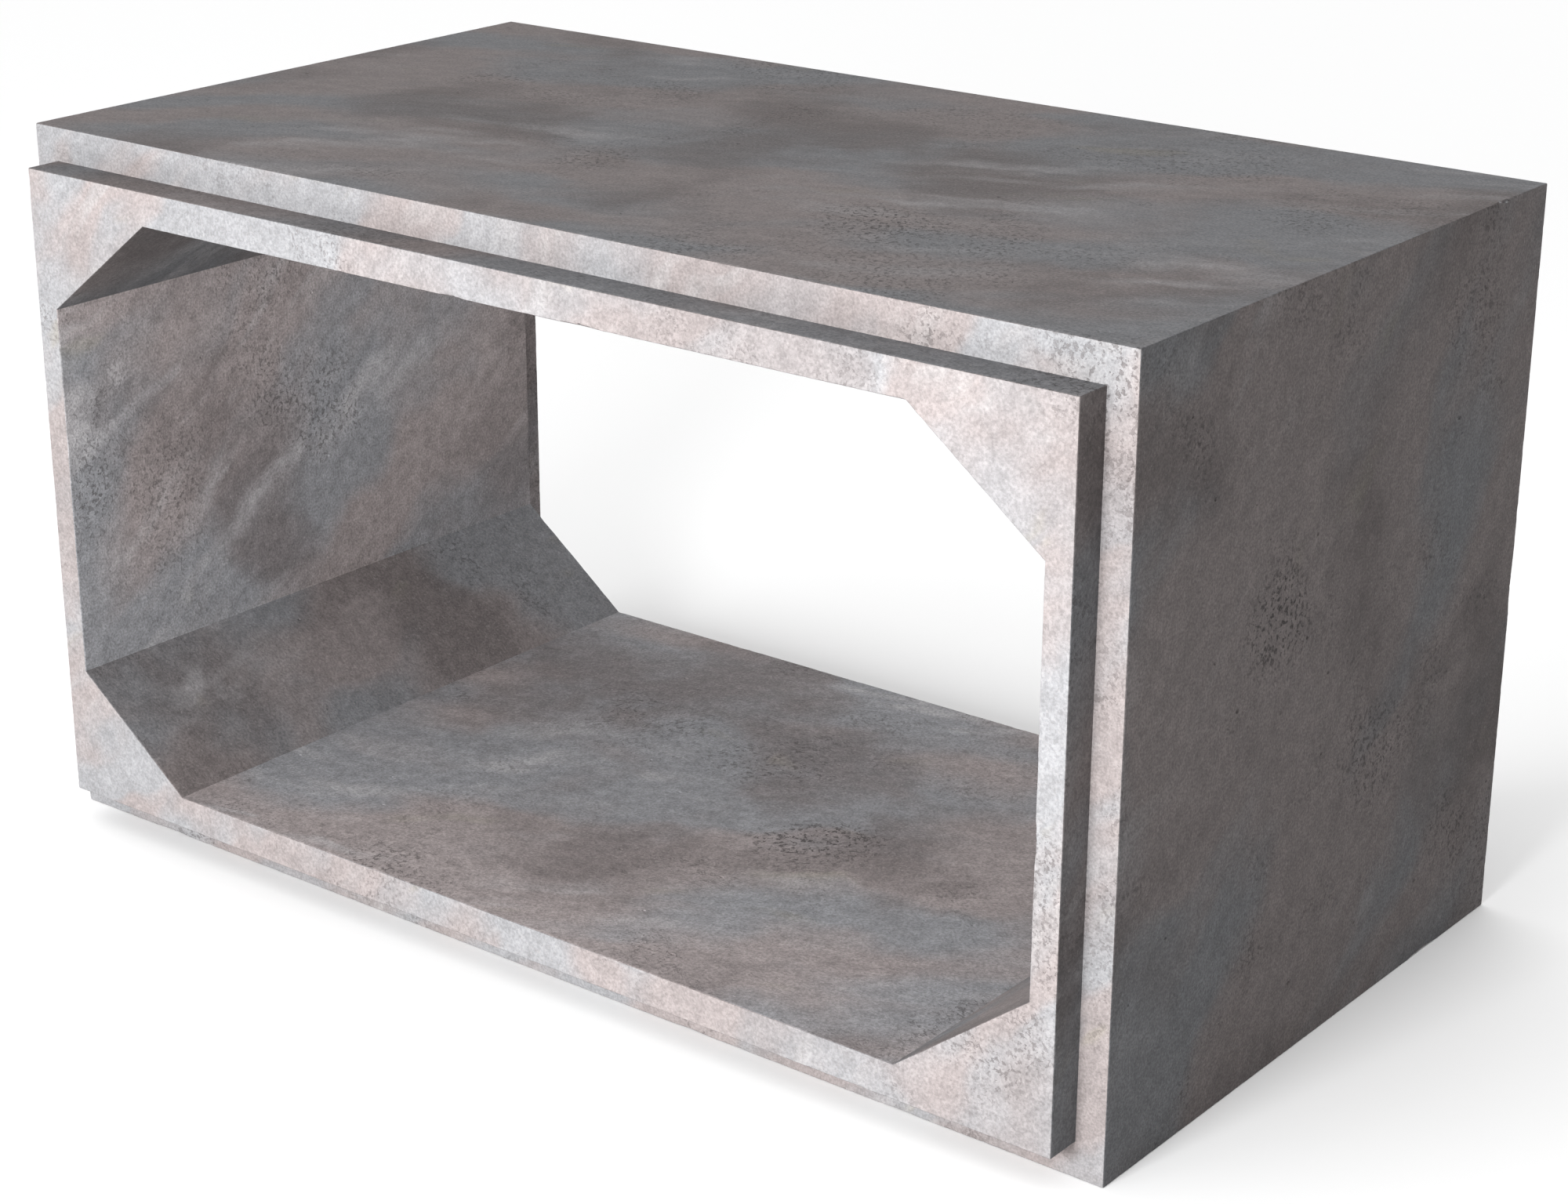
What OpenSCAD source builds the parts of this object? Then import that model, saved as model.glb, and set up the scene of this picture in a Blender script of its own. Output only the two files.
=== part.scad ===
// Precast concrete box culvert unit: one casting with an octagonal bore,
// a spigot on the -Y end and a socket on the +Y end.
// Units are millimetres. The origin is at bed level, at the centre of the footprint.

/* [Bore] */
// Clear width between the side walls
bore_w = 2400; // [1500:10:4200]
// Clear height between the floor slab and the roof slab
bore_h = 1220; // [800:10:2400]

/* [Walls and slabs] */
// Thickness of each side wall
wall_t = 115; // [100:5:250]
// Thickness of the roof slab
roof_t = 140; // [120:5:300]
// Thickness of the floor slab
floor_t = 140; // [120:5:300]

/* [Haunches] */
// Width of each corner haunch along the slab
haunch_w = 280; // [100:5:600]
// Height of each corner haunch up the wall
haunch_h = 215; // [100:5:350]

/* [Length] */
// Laying length, from the spigot's shoulder to the socket's rim
laying_l = 1423; // [900:1:2500]

/* [Spigot] */
// How far the spigot stands out of the shoulder
spigot_l = 77; // [50:1:150]
// How far the spigot is set in from the outer face of each side wall
side_step = 60; // [40:1:90]
// How far the spigot is set in from the outer face of each slab
slab_step = 70; // [40:1:110]

/* [Socket] */
// Gap left for joint filler between the nose of a like unit's spigot and the socket's seat
seat_gap = 23; // [5:1:60]
// Clearance left all round a spigot of the same size
joint_gap = 4; // [2:1:15]

/* [Hidden] */

outer_w = bore_w + 2 * wall_t;
outer_h = floor_t + bore_h + roof_t;
total_l = laying_l + spigot_l;
nose_y = -total_l / 2;
shoulder_y = nose_y + spigot_l;
rim_y = shoulder_y + laying_l;
seat_y = rim_y - spigot_l - seat_gap;
socket_side = side_step - joint_gap;
socket_slab = slab_step - joint_gap;
overshoot = 10; // how far a cut runs past the face that it opens

// A prism along Y from y0 to y1 whose section is drawn in the XZ plane.
module along_y(y0, y1) {
    translate([0, y1, 0])
        rotate([90, 0, 0])
            linear_extrude(height = y1 - y0)
                children();
}

// The unit's outer rectangle, set in by side and slab from its outer faces.
module outline(side, slab) {
    translate([side - outer_w / 2, slab])
        square([outer_w - 2 * side, outer_h - 2 * slab]);
}

// The waterway: a rectangle with a haunch across each corner.
module bore_outline() {
    x = bore_w / 2;
    z0 = floor_t;
    z1 = floor_t + bore_h;
    polygon([
        [haunch_w - x, z0],
        [x - haunch_w, z0],
        [x, z0 + haunch_h],
        [x, z1 - haunch_h],
        [x - haunch_w, z1],
        [haunch_w - x, z1],
        [-x, z1 - haunch_h],
        [-x, z0 + haunch_h]
    ]);
}

// The full-section barrel between the shoulder and the socket's rim.
module barrel() {
    along_y(shoulder_y, rim_y)
        outline(0, 0);
}

// The spigot, which enters the socket of the next unit.
module spigot() {
    along_y(nose_y, rim_y)
        outline(side_step, slab_step);
}

// The recess that takes the spigot of the next unit.
module socket_recess() {
    along_y(seat_y, rim_y + overshoot)
        outline(socket_side, socket_slab);
}

// The waterway through the whole unit.
module bore() {
    along_y(nose_y - overshoot, rim_y + overshoot)
        bore_outline();
}

module culvert_unit() {
    color("#9a9490")
        difference() {
            union() {
                barrel();
                spigot();
            }
            bore();
            socket_recess();
        }
}

culvert_unit();
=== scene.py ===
"""The looks of the precast box culvert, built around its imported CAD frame.

The casting is the CAD node's own form with worn arrises and small air holes cut into it.
Nothing is added outside the CAD faces. Everything is in metres, in the frame of the part.
"""

import math
import random

import bmesh
import bpy
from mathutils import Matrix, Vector, noise


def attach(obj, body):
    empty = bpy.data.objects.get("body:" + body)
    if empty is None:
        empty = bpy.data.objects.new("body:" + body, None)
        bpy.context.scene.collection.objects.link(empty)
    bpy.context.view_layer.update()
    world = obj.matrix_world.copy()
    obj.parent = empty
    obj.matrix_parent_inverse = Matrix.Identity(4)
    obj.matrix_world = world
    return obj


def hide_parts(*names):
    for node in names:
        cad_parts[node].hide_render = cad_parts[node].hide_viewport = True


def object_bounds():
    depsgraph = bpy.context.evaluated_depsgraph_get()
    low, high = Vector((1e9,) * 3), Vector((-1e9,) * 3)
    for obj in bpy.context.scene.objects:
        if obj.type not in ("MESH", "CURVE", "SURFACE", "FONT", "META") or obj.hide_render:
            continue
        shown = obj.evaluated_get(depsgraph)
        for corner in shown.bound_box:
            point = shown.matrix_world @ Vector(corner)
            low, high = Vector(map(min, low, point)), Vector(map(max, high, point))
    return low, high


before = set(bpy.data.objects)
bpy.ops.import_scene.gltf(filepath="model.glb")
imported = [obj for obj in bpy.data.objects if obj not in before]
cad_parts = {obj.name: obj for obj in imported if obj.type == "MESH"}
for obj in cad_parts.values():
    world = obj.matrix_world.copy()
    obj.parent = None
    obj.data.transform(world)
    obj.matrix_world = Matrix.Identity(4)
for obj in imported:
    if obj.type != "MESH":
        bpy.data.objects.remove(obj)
cad_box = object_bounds()

axis_height = sum(c.z for c in cad_box) / 2  # of the waterway
NODE = "culvert_unit"
BODY = "root"
SEED = 11

# Arris wear
ARRIS_STEP = 0.006  # spacing of the points along an arris
ARRIS_ROUND = 0.0022  # the sound arris's own rounding
ARRIS_RAGGED = 0.0010  # how much the rounding wanders
ARRIS_SEGMENTS = 3
CHIP_DEPTH = 0.009  # scale of the chips' reach into a face
CHIP_SHOWS = 0.0035  # wear from which the inside of the concrete shows
CHIP_SPACING = 6.5  # chipped places to the metre, roughly
CHIP_OFFSET = Vector((3.1, 7.7, 1.3))  # moves the chipped places about
HOLLOW = 0.75  # how far a chip's middle sinks, as a share of its reach
CHIP_START = 0.44  # the share of the noise's height above which an arris is chipped
SAME_NORMAL = 1e-3  # what is left of a normal or a move that lies along the others
SHARP_ANGLE = math.radians(30)  # edges that turn more than this are arrises

# Air holes left in the formed faces
HOLE_COUNT = 320
HOLE_RADIUS = (0.0018, 0.0050)
HOLE_MARGIN = 0.03  # least distance from an arris
HOLE_APART = 0.02  # least distance between two holes
TILTED = 0.3  # how far a face of the bore looks up to be a haunch, or down to be soffit
FACING = 0.9  # how squarely a face looks along an axis to take that axis's concrete

# Camera: a place in metres and a direction, from the lines of the unit in the view
CAMERA_PLACE = (3.853, -4.833, 2.901)
CAMERA_AZIMUTH = 38.59
CAMERA_ELEVATION = 21.32
CAMERA_LENS = 74.1
CAMERA_SHIFT = (0.0228, 0.0244)

# Studio
FLOOR_SIZE = 60.0
FLOOR_COLOUR = (0.95, 0.95, 0.95, 1.0)
KEY_PLACE = (1.2, -5.9, 2.3)
KEY_AIM = (0.2, 0.0, 0.7)
KEY_WATTS = 380.0
WORLD_STRENGTH = (1.35, 0.40)  # from the left, and from the right


# ---------------------------------------------------------------- materials

class Graph:
    """Short names for the shader nodes that the concrete needs."""

    def __init__(self, name):
        self.material = bpy.data.materials.new(name)
        self.material.use_nodes = True
        self.tree = self.material.node_tree
        self.tree.nodes.clear()
        self.place = self.new("ShaderNodeTexCoord").outputs["Object"]

    def new(self, kind, **settings):
        node = self.tree.nodes.new(kind)
        for key, value in settings.items():
            setattr(node, key, value)
        return node

    def feed(self, socket, value):
        if isinstance(value, bpy.types.NodeSocket):
            self.tree.links.new(value, socket)
        else:
            socket.default_value = value

    def mapped(self, vector, turn=(0, 0, 0), scale=(1, 1, 1), shift=(0, 0, 0)):
        """vector turned by degrees, then scaled."""
        turned = self.new("ShaderNodeMapping")
        self.feed(turned.inputs["Vector"], vector)
        turned.inputs["Rotation"].default_value = [math.radians(a) for a in turn]
        turned.inputs["Location"].default_value = shift
        scaled = self.new("ShaderNodeMapping")
        self.feed(scaled.inputs["Vector"], turned.outputs["Vector"])
        scaled.inputs["Scale"].default_value = scale
        return scaled.outputs["Vector"]

    def noise(self, vector, scale, detail=4.0, rough=0.55, distortion=0.0):
        node = self.new("ShaderNodeTexNoise")
        self.feed(node.inputs["Vector"], vector)
        node.inputs["Scale"].default_value = scale
        node.inputs["Detail"].default_value = detail
        node.inputs["Roughness"].default_value = rough
        node.inputs["Distortion"].default_value = distortion
        return node.outputs["Fac"]

    def between(self, value, low, high, out_low=0.0, out_high=1.0):
        """value carried smoothly from low..high to out_low..out_high."""
        node = self.new("ShaderNodeMapRange", interpolation_type="SMOOTHSTEP")
        self.feed(node.inputs["Value"], value)
        node.inputs["From Min"].default_value = low
        node.inputs["From Max"].default_value = high
        node.inputs["To Min"].default_value = out_low
        node.inputs["To Max"].default_value = out_high
        return node.outputs["Result"]

    def math(self, operation, a, b):
        node = self.new("ShaderNodeMath", operation=operation)
        self.feed(node.inputs[0], a)
        self.feed(node.inputs[1], b)
        return node.outputs["Value"]

    def mix(self, amount, a, b, blend="MIX"):
        node = self.new("ShaderNodeMix", data_type="RGBA", blend_type=blend)
        self.feed(node.inputs["Factor"], amount)
        self.feed(node.inputs["A"], a)
        self.feed(node.inputs["B"], b)
        return node.outputs["Result"]

    def displaced(self, vector, scale, reach):
        """vector moved about by up to half of reach on each axis, so that what is laid on it wanders."""
        drift = self.new("ShaderNodeTexNoise")
        self.feed(drift.inputs["Vector"], vector)
        drift.inputs["Scale"].default_value = scale
        drift.inputs["Detail"].default_value = 2.0
        centred = self.new("ShaderNodeVectorMath", operation="SUBTRACT")
        self.feed(centred.inputs[0], drift.outputs["Color"])
        centred.inputs[1].default_value = (0.5, 0.5, 0.5)
        moved = self.new("ShaderNodeVectorMath", operation="MULTIPLY_ADD")
        self.feed(moved.inputs[0], centred.outputs["Vector"])
        moved.inputs[1].default_value = (reach, reach, reach)
        self.feed(moved.inputs[2], vector)
        return moved.outputs["Vector"]

    def grey(self, value):
        """A value as a grey colour."""
        node = self.new("ShaderNodeCombineColor")
        for channel in ("Red", "Green", "Blue"):
            self.feed(node.inputs[channel], value)
        return node.outputs["Color"]

    def bump(self, height, distance, strength=1.0, under=None):
        node = self.new("ShaderNodeBump")
        self.feed(node.inputs["Height"], height)
        node.inputs["Distance"].default_value = distance
        node.inputs["Strength"].default_value = strength
        if under is not None:
            self.feed(node.inputs["Normal"], under)
        return node.outputs["Normal"]

    def finish(self, colour, rough, normal, specular=0.25):
        shader = self.new("ShaderNodeBsdfPrincipled")
        self.feed(shader.inputs["Base Color"], colour)
        self.feed(shader.inputs["Roughness"], rough)
        self.feed(shader.inputs["Normal"], normal)
        shader.inputs["Specular IOR Level"].default_value = specular
        out = self.new("ShaderNodeOutputMaterial")
        self.feed(out.inputs["Surface"], shader.outputs["BSDF"])
        return self.material


def rgb(r, g, b):
    return (r, g, b, 1.0)


def drawn_out(g, vector, turn, length, width, shift=(0, 0, 0)):
    """vector laid so that noise of scale 1 makes marks of this length and width along the streaks.

    The streaks run along Y where turn is about X, and along X otherwise.
    """
    along_y = bool(turn[0])
    scale = (1 / width, 1 / length, 1 / width) if along_y else (1 / length, 1 / width, 1 / width)
    return g.mapped(vector, turn, scale, shift)


def near(g, vector, place, radius):
    """1 at a place on the casting, falling smoothly to 0 at the radius."""
    away = g.new("ShaderNodeVectorMath", operation="DISTANCE")
    g.feed(away.inputs[0], vector)
    away.inputs[1].default_value = place
    return g.between(away.outputs["Value"], 0.2 * radius, radius, 1.0, 0.0)


def tinted(g, wander, tones, turn, shift, size):
    """The wiped colours: broad warm and cool patches, dark clouds, pale wipes and a few yellow stains."""
    length, width = size
    patches = g.between(g.noise(drawn_out(g, wander, turn, length, width, shift), 1.0, 1.6, 0.45), 0.42, 0.58)
    clouds = g.between(g.noise(g.mapped(wander, shift=shift), 1.9, 3.0, 0.55), 0.46, 0.66)
    where = g.between(g.noise(g.mapped(g.place, shift=shift), 1.3, 2.0, 0.5), 0.44, 0.62)
    wipes = g.between(g.noise(drawn_out(g, wander, turn, 0.8 * length, 0.3 * width, shift), 1.0, 2.5, 0.5), 0.48, 0.74)
    stain = g.between(g.noise(drawn_out(g, wander, turn, 0.5 * length, 0.5 * width), 1.0, 2.0, 0.5), 0.66, 0.80)
    colour = g.mix(patches, tones["warm"], tones["cool"])
    colour = g.mix(g.math("MULTIPLY", clouds, 0.75), colour, tones["dark"])
    colour = g.mix(g.math("MULTIPLY", g.math("MULTIPLY", wipes, where), 0.70), colour, tones["pale"])
    return g.mix(g.math("MULTIPLY", stain, 0.45), colour, tones["stain"])


def concrete(name, tones, turn, shift, speckle, pitted=None, size=(0.85, 0.30)):
    """Cast concrete: wiped colours, fine smears, mottle, pin-holes in patches, dark with painted shade, and pale
    grains.

    turn lays the streaks, in degrees, shift moves the whole pattern, speckle is the fine marks' strength,
    pitted is the middle of the face's densest patch of pin-holes, and size is a colour patch's length and width.
    """
    g = Graph(name)
    wander = g.displaced(g.displaced(g.place, 1.9, 0.30), 9.0, 0.06)
    colour = tinted(g, wander, tones, turn, shift, size)

    smears = g.noise(drawn_out(g, g.displaced(g.place, 5.0, 0.06), turn, 0.10, 0.024), 1.0, 4.0, 0.65)
    mottle = g.noise(g.place, 34.0, 5.0, 0.65)
    sand = g.noise(g.place, 190.0, 2.0, 0.6)
    patches = g.between(g.noise(g.mapped(g.place, shift=shift), 3.1, 3.0, 0.6), 0.48, 0.70, 0.12, 0.70)
    if pitted:
        patches = g.math("MAXIMUM", patches, near(g, wander, pitted, PITTED_RADIUS))
    pits = g.math("MULTIPLY", g.between(g.noise(g.displaced(g.place, 60.0, 0.012), 96.0, 3.0, 0.65), 0.535, 0.61), patches)
    grains = g.between(g.noise(g.mapped(g.place, shift=GRAIN_SHIFT), 150.0, 2.0, 0.5), 0.60, 0.72)

    for value, spread in ((smears, 0.45 * speckle), (mottle, 0.80 * speckle), (sand, 1.20 * speckle)):
        colour = g.mix(1.0, colour, g.grey(g.between(value, 0.30, 0.70, 1 - spread, 1 + spread)), "MULTIPLY")
    # The pin-holes are darkened with painted shade inside them.
    colour = g.mix(g.math("MULTIPLY", pits, 0.80), colour, tones["pit"])
    colour = g.mix(g.math("MULTIPLY", grains, 0.22), colour, tones["grain"])

    rough = g.between(mottle, 0.3, 0.7, 0.78, 0.94)
    normal = g.bump(mottle, 0.0030, 0.40)
    normal = g.bump(sand, 0.0010, 0.5, normal)
    normal = g.bump(g.math("SUBTRACT", 1.0, pits), 0.0020, 0.8, normal)
    return g.finish(colour, rough, normal)


def toned(tones, share):
    """The same tones, lighter or darker: used for painted light and painted shade on the formed faces, and for the
    paler broken concrete.
    """
    return {name: rgb(*[share * c for c in colour[:3]]) for name, colour in tones.items()}


def at(across, along, height):
    """A place given by shares of the casting's width, length from the spigot, and height."""
    low, high = cad_box
    return tuple(a + share * (b - a) for a, b, share in zip(low, high, (across, along, height)))


FORMED = {
    "warm": rgb(0.152, 0.133, 0.131),
    "cool": rgb(0.131, 0.132, 0.139),
    "pale": rgb(0.215, 0.208, 0.212),
    "stain": rgb(0.150, 0.138, 0.116),
    "dark": rgb(0.088, 0.076, 0.075),
    "pit": rgb(0.026, 0.022, 0.022),
    "grain": rgb(0.300, 0.280, 0.275),
}
# The ends' tones, about twice as light as the roof: partly the ends' own paler, granular finish and partly painted
# light.
END = {
    "warm": rgb(0.312, 0.276, 0.271),
    "cool": rgb(0.298, 0.298, 0.308),
    "pale": rgb(0.352, 0.338, 0.338),
    "stain": rgb(0.300, 0.272, 0.224),
    "dark": rgb(0.262, 0.232, 0.228),
    "pit": rgb(0.085, 0.070, 0.068),
    "grain": rgb(0.450, 0.422, 0.415),
}
GRAIN_SHIFT = (5.0, 3.0, 1.0)
PITTED_RADIUS = 0.22
SLAB_TURN = (0, 0, -25)
BORE_WALL_TURN = (-34, 0, 0)
SIDE_TURN = (-46, 0, 0)
END_TURN = (0, 42, 0)

# The roof has the plain formed tones. The sides, the soffit, the bore and the haunches are lit and shaded copies of
# them, with painted light and painted shade; the ends are partly painted light.
MATERIALS = {
    "roof": concrete("roof_concrete", FORMED, SLAB_TURN, (2.0, 0.0, 0.0), 0.16, at(0.7, 0.3, 1.0)),
    # The outer sides: the roof's tones at 0.8, painted shade.
    "side": concrete("side_concrete_painted_shade", toned(FORMED, 0.8), SIDE_TURN, (0.0, 1.0, 0.0), 0.16, at(1.0, 0.4, 0.6)),
    # The bore's floor and walls: the roof's tones at about 1.9, painted light.
    "bore_slab": concrete("bore_slab_concrete_painted_light", toned(FORMED, 1.95), SLAB_TURN, (0.0, 3.0, 0.0), 0.16, at(0.6, 0.4, 0.1)),
    "bore_wall": concrete("bore_wall_concrete_painted_light", toned(FORMED, 1.9), BORE_WALL_TURN, (0.0, 0.0, 2.0), 0.18,
                          at(0.0, 0.4, 0.7)),
    # The haunches: the roof's tones at 1.35, painted light.
    "haunch": concrete("haunch_concrete_painted_light", toned(FORMED, 1.35), BORE_WALL_TURN, (0.0, 2.0, 1.0), 0.16),
    # The bore's downward faces: the roof's tones at 0.8, painted shade.
    "soffit": concrete("soffit_concrete_painted_shade", toned(FORMED, 0.8), SLAB_TURN, (1.0, 3.0, 0.0), 0.16),
    "end": concrete("end_concrete_with_painted_light", END, END_TURN, (4.0, 0.0, 1.0), 0.12, size=(0.42, 0.16)),
    "broken": concrete("broken_concrete", toned(FORMED, 1.4), (0, 0, 0), (0.0, 0.0, 0.0), 0.30, size=(0.12, 0.05)),
}
SLOTS = {name: number for number, name in enumerate(MATERIALS)}


# ---------------------------------------------------------------- the casting

def clean_frame_mesh():
    """The CAD node's form as a mesh of flat convex faces."""
    bm = bmesh.new()
    bm.from_mesh(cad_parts[NODE].data)
    bmesh.ops.remove_doubles(bm, verts=bm.verts, dist=1e-5)
    bmesh.ops.dissolve_limit(bm, angle_limit=math.radians(0.2), verts=bm.verts, edges=bm.edges)
    bmesh.ops.recalc_face_normals(bm, faces=bm.faces)
    # a ring face would otherwise be one C-shaped face, which triangulates badly once its edges are ragged
    bmesh.ops.connect_verts_concave(bm, faces=bm.faces)
    bm.normal_update()
    return bm


def is_arris(edge):
    """A sharp edge that stands out of the casting."""
    return edge.is_manifold and edge.is_convex and edge.calc_face_angle() > SHARP_ANGLE


def split_evenly(edge, count):
    """Evenly spaced points along an edge, which leave it in count pieces."""
    start = edge.verts[0]
    for left in range(count, 1, -1):
        _, start = bmesh.utils.edge_split(edge, start, 1 / left)


def wear(point):
    """How far an arris is worn back at a point: its ragged rounding, and here and there a chip."""
    ragged = ARRIS_RAGGED * (noise.noise(point * 90) + noise.noise(point * 25))
    height = noise.noise(point * CHIP_SPACING + CHIP_OFFSET)
    chip = max(0.0, (height - CHIP_START) / (1 - CHIP_START))
    teeth = 1 + 0.5 * noise.noise(point * 140)
    return max(0.0, ragged) + CHIP_DEPTH * chip * teeth


def kept_in_planes(move, normals):
    """The part of a move that stays in every plane with one of these normals, which may be skew or repeated."""
    axes = []
    for normal in normals:
        rest = normal - sum((axis * normal.dot(axis) for axis in axes), Vector())
        if rest.length > SAME_NORMAL:
            axes.append(rest.normalized())
    for axis in axes:
        move = move - axis * move.dot(axis)
    return move


def wear_arrises(bm):
    """Rounds every arris and wears it back. Points on a flat face stay in its plane."""
    for edge in [e for e in bm.edges if is_arris(e)]:
        split_evenly(edge, max(1, round(edge.calc_length() / ARRIS_STEP)))
    made = bmesh.ops.bevel(
        bm, geom=[e for e in bm.edges if is_arris(e)], offset=ARRIS_ROUND, offset_type="OFFSET",
        segments=ARRIS_SEGMENTS, profile=0.5, affect="EDGES", clamp_overlap=False,
    )
    strip = set(made["faces"])
    bm.normal_update()
    moves = {}
    for vert in made["verts"]:
        out = sum((f.normal for f in vert.link_faces if f in strip), Vector())
        flat = [f.normal for f in vert.link_faces if f not in strip]
        if out.length < 1e-6:
            continue
        move = kept_in_planes(-out.normalized(), flat)
        if move.length > SAME_NORMAL:
            reach = 1.0 if flat else HOLLOW
            moves[vert] = move.normalized() * wear(vert.co) * reach
    for vert, move in moves.items():
        vert.co += move
    return strip


def concrete_of(point, normal):
    """Which concrete a face shows, by where it looks and whether it lies in the bore; this also gives the face its
    painted light or painted shade.
    """
    if abs(normal.y) > FACING:
        return SLOTS["end"]
    if normal.dot(point - Vector((0, point.y, axis_height))) > 0:
        return SLOTS["roof" if abs(normal.z) > FACING else "side"]
    if normal.z < -TILTED:
        return SLOTS["soffit"]
    if normal.z > FACING:
        return SLOTS["bore_slab"]
    return SLOTS["haunch" if normal.z > TILTED else "bore_wall"]


def hole_places(bm, draw):
    """Random places on the rectangular formed faces, clear of the arrises: (point, normal, radius)."""
    faces = [f for f in bm.faces if len(f.verts) == 4 and abs(f.normal.y) < 0.1]
    areas = [f.calc_area() for f in faces]
    places = []
    while len(places) < HOLE_COUNT:
        face = draw.choices(faces, areas)[0]
        a, b, _, d = [v.co for v in face.verts]
        across, along = b - a, d - a
        if min(across.length, along.length) < 4 * HOLE_MARGIN:
            continue
        u, v = [HOLE_MARGIN / side.length for side in (across, along)]
        point = a + across * draw.uniform(u, 1 - u) + along * draw.uniform(v, 1 - v)
        radius = draw.triangular(HOLE_RADIUS[0], HOLE_RADIUS[1], HOLE_RADIUS[0])
        if all((point - p).length > HOLE_APART for p, _, _ in places):
            places.append((point, face.normal.copy(), radius))
    return places


def hole_cutters(places, draw):
    """One mesh of lumpy, flattened balls that cut the air holes."""
    bm = bmesh.new()
    for point, normal, radius in places:
        ball = bmesh.ops.create_icosphere(bm, subdivisions=2, radius=radius)["verts"]
        turn = normal.to_track_quat("Z", "Y").to_matrix()
        stretch = draw.uniform(1.0, 1.6)
        for vert in ball:
            lump = 1 + 0.25 * noise.noise(vert.co / radius + point * 7)
            shape = Vector((vert.co.x * stretch, vert.co.y, vert.co.z * 0.8)) * lump
            vert.co = point + turn @ shape + normal * radius * 0.1
        for face in {f for vert in ball for f in vert.link_faces}:
            face.material_index = concrete_of(point, normal)
            face.smooth = True
    mesh = bpy.data.meshes.new("hole_cutters")
    bm.to_mesh(mesh)
    bm.free()
    return mesh


def linked(name, mesh):
    obj = bpy.data.objects.new(name, mesh)
    bpy.context.scene.collection.objects.link(obj)
    for material in MATERIALS.values():
        mesh.materials.append(material)
    return obj


def build_casting():
    draw = random.Random(SEED)
    bm = clean_frame_mesh()
    places = hole_places(bm, draw)
    strip = wear_arrises(bm)
    for face in bm.faces:
        middle = face.calc_center_median()
        chipped = face in strip and wear(middle) > CHIP_SHOWS
        face.material_index = SLOTS["broken"] if chipped else concrete_of(middle, face.normal)
        face.smooth = face in strip
    mesh = bpy.data.meshes.new("culvert_casting")
    bm.to_mesh(mesh)
    bm.free()
    casting = linked("culvert_casting", mesh)
    cutters = linked("hole_cutters", hole_cutters(places, draw))
    cut = casting.modifiers.new("air_holes", "BOOLEAN")
    cut.operation, cut.solver, cut.object = "DIFFERENCE", "EXACT", cutters
    dug = bpy.data.meshes.new_from_object(casting.evaluated_get(bpy.context.evaluated_depsgraph_get()))
    casting.modifiers.clear()
    casting.data = dug
    dug.name = "culvert_casting"
    bpy.data.objects.remove(cutters)
    return casting


casting = build_casting()
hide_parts(NODE)
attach(casting, BODY)


# ---------------------------------------------------------------- floor, light, camera

def make_floor():
    mesh = bpy.data.meshes.new("studio_floor")
    half = FLOOR_SIZE / 2
    mesh.from_pydata([(-half, -half, 0), (half, -half, 0), (half, half, 0), (-half, half, 0)], [], [(0, 1, 2, 3)])
    floor = bpy.data.objects.new("studio_floor", mesh)
    bpy.context.scene.collection.objects.link(floor)
    material = bpy.data.materials.new("studio_floor")
    material.use_nodes = True
    shader = material.node_tree.nodes["Principled BSDF"]
    shader.inputs["Base Color"].default_value = FLOOR_COLOUR
    shader.inputs["Roughness"].default_value = 0.9
    shader.inputs["Specular IOR Level"].default_value = 0.1
    mesh.materials.append(material)


def make_light(name, place, aim, size, watts):
    light = bpy.data.lights.new(name, "AREA")
    light.shape = "RECTANGLE"
    light.size, light.size_y = size
    light.energy = watts
    lamp = bpy.data.objects.new(name, light)
    lamp.location = place
    lamp.rotation_euler = (Vector(aim) - Vector(place)).to_track_quat("-Z", "Y").to_euler()
    bpy.context.scene.collection.objects.link(lamp)


def make_world():
    """A white studio, dimmer on the casting's right."""
    world = bpy.data.worlds.new("studio")
    world.use_nodes = True
    nodes, links = world.node_tree.nodes, world.node_tree.links
    direction = nodes.new("ShaderNodeTexCoord").outputs["Generated"]
    split = nodes.new("ShaderNodeSeparateXYZ")
    links.new(direction, split.inputs["Vector"])
    dim = nodes.new("ShaderNodeMapRange")
    dim.interpolation_type = "SMOOTHSTEP"
    dim.inputs["From Min"].default_value = -0.3
    dim.inputs["From Max"].default_value = 0.8
    dim.inputs["To Min"].default_value, dim.inputs["To Max"].default_value = WORLD_STRENGTH
    links.new(split.outputs["X"], dim.inputs["Value"])
    links.new(dim.outputs["Result"], nodes["Background"].inputs["Strength"])
    nodes["Background"].inputs["Color"].default_value = (1.0, 1.0, 1.0, 1.0)
    bpy.context.scene.world = world


def make_camera():
    data = bpy.data.cameras.new("camera")
    data.sensor_width = 36.0
    data.lens = CAMERA_LENS
    data.shift_x, data.shift_y = CAMERA_SHIFT
    camera = bpy.data.objects.new("camera", data)
    camera.location = CAMERA_PLACE
    camera.rotation_euler = (math.radians(90 - CAMERA_ELEVATION), 0, math.radians(CAMERA_AZIMUTH))
    bpy.context.scene.collection.objects.link(camera)
    bpy.context.scene.camera = camera


make_floor()
make_light("key", KEY_PLACE, KEY_AIM, (2.2, 1.6), KEY_WATTS)
make_world()
make_camera()
bpy.context.scene.view_settings.view_transform = "Standard"
